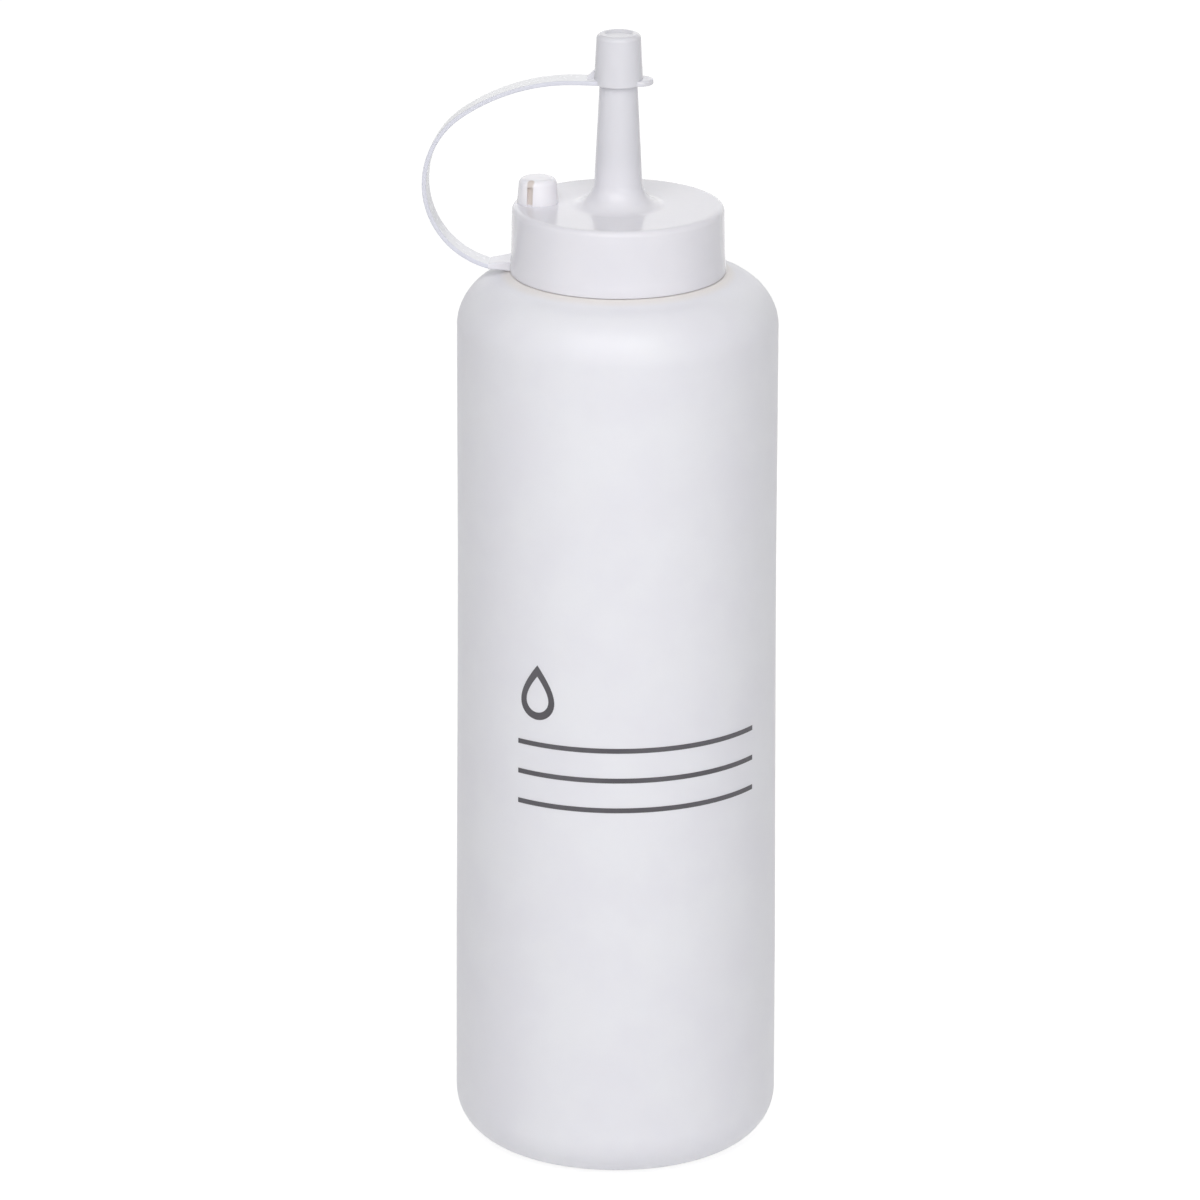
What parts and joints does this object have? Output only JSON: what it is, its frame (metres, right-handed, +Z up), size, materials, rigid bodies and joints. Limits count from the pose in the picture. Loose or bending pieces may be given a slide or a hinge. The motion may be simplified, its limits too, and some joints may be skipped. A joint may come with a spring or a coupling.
{
  "type": "sauce dispenser",
  "caption": "Tall round squeeze bottle for sauce with a threaded neck, a screw cap that carries a tapered nozzle, and a pull-off nozzle cap tethered by a looped strap.",
  "frame": {"origin": "centre of the base, on the surface that the bottle stands on", "axes": "+Z up along the bottle's axis, the nozzle cap's strap loops out towards -X, -Y is the front"},
  "size_m": [0.0779, 0.071, 0.2513],
  "materials": {
    "bottle_plastic": "satin milky polyethylene",
    "cap_plastic": "smooth white polyethylene",
    "strap_plastic": "thin, slightly translucent polyethylene",
    "liner_foam": "closed-cell foam"
  },
  "bodies": {
    "bottle": {"bottle": "bottle_plastic"},
    "seal": {"sealing_liner": "liner_foam"},
    "closure": {"screw_cap": "cap_plastic", "cap_strap": "strap_plastic"},
    "nozzle_cap": {"nozzle_cap": "cap_plastic"}
  },
  "joints": [
    {"name": "cap_lift", "type": "slide", "parent": "bottle", "child": "seal", "axis": [0, 0, 1], "range_m": [0, 0.0063]},
    {"name": "cap_turn", "type": "hinge", "parent": "seal", "child": "closure", "pos_m": [0, 0, 0.2], "axis": [0, 0, 1], "range_deg": [0, 540]},
    {"name": "nozzle_cap_pull", "type": "slide", "parent": "closure", "child": "nozzle_cap", "axis": [0, 0, 1], "range_m": [0, 0.012], "deforming": ["cap_strap"]}
  ],
  "couplings": [
    {"joint": "cap_lift", "follows": "cap_turn", "m_per_rad": 0.00066845}
  ]
}
